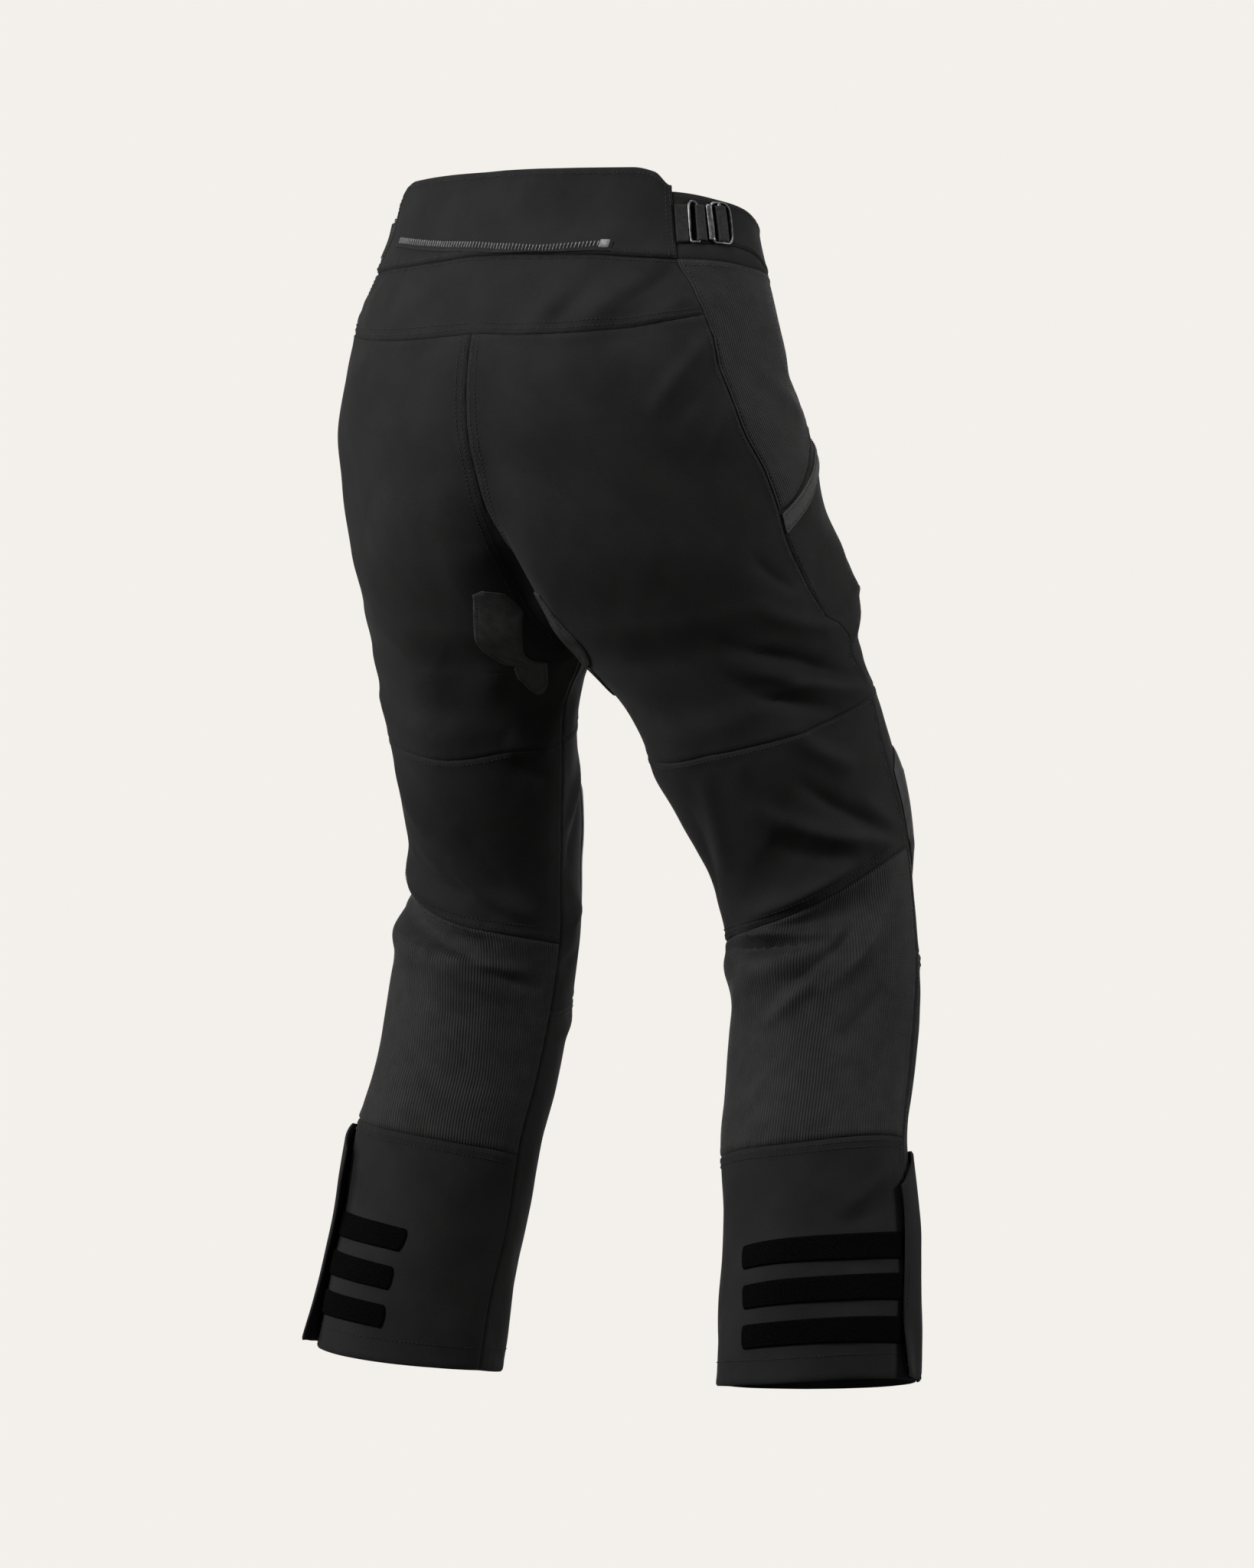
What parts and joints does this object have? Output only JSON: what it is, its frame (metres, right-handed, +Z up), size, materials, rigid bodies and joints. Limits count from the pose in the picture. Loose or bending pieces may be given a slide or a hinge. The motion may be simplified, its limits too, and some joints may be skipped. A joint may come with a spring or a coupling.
{
  "type": "motorcycle trousers",
  "caption": "Textile riding trousers filled out as worn, hollow, with a raised back waistband, side adjusters, pre-bent knees, ribbed stretch panels and strap closures at open hems.",
  "frame": {"origin": "centre of the waist opening, where the wearer holds the trousers up", "axes": "+Z up, the front of the trousers faces -Y, the wearer's left is +X"},
  "size_m": [0.5696, 0.3747, 1.0081],
  "materials": {
    "plain_cloth": "matt black woven stretch cloth",
    "stretch_mesh": "black fine ribbed stretch mesh",
    "patch_cloth": "smooth black reinforcing cloth",
    "tape": "dark grey woven tape",
    "hook_pile": "deep black hook and loop pile",
    "webbing": "black woven webbing",
    "gunmetal": "dark gunmetal plate",
    "zip_plastic": "dark grey moulded zip end"
  },
  "bodies": {
    "root": {"back_waistband": "plain_cloth", "back_yoke": "plain_cloth", "zip_tape": "tape", "zip_end_box": "zip_plastic", "fly_placket": "plain_cloth", "waist_tab": "plain_cloth", "waist_snap": "gunmetal", "front_waistband_left": "plain_cloth", "front_waistband_right": "plain_cloth", "side_strip_left": "plain_cloth", "side_strip_right": "plain_cloth", "front_panel_left": "plain_cloth", "front_panel_right": "plain_cloth", "hip_panel_left": "stretch_mesh", "hip_panel_right": "stretch_mesh", "seat_panel_left": "plain_cloth", "seat_panel_right": "plain_cloth", "thigh_back_left": "plain_cloth", "thigh_back_right": "plain_cloth", "calf_back_left": "stretch_mesh", "calf_back_right": "stretch_mesh", "hem_back_left": "plain_cloth", "hem_back_right": "plain_cloth", "knee_panel_left": "plain_cloth", "knee_panel_right": "plain_cloth", "shin_panel_left": "plain_cloth", "shin_panel_right": "plain_cloth", "inner_patch_left": "patch_cloth", "inner_patch_right": "patch_cloth", "pocket_tape_left": "tape", "pocket_tape_right": "tape", "knee_patch_left": "patch_cloth", "knee_patch_right": "patch_cloth", "hook_strip_1_left": "hook_pile", "hook_strip_1_right": "hook_pile", "hook_strip_2_left": "hook_pile", "hook_strip_2_right": "hook_pile", "hook_strip_3_left": "hook_pile", "hook_strip_3_right": "hook_pile", "hem_flap_left": "plain_cloth", "hem_flap_right": "plain_cloth", "strap_end_left": "webbing", "strap_end_right": "webbing", "strap_middle_left": "webbing", "strap_middle_right": "webbing", "strap_front_left": "webbing", "strap_front_right": "webbing", "ladder_ring_left": "gunmetal", "ladder_ring_right": "gunmetal", "wide_buckle_left": "gunmetal", "wide_buckle_right": "gunmetal"}
  },
  "joints": []
}
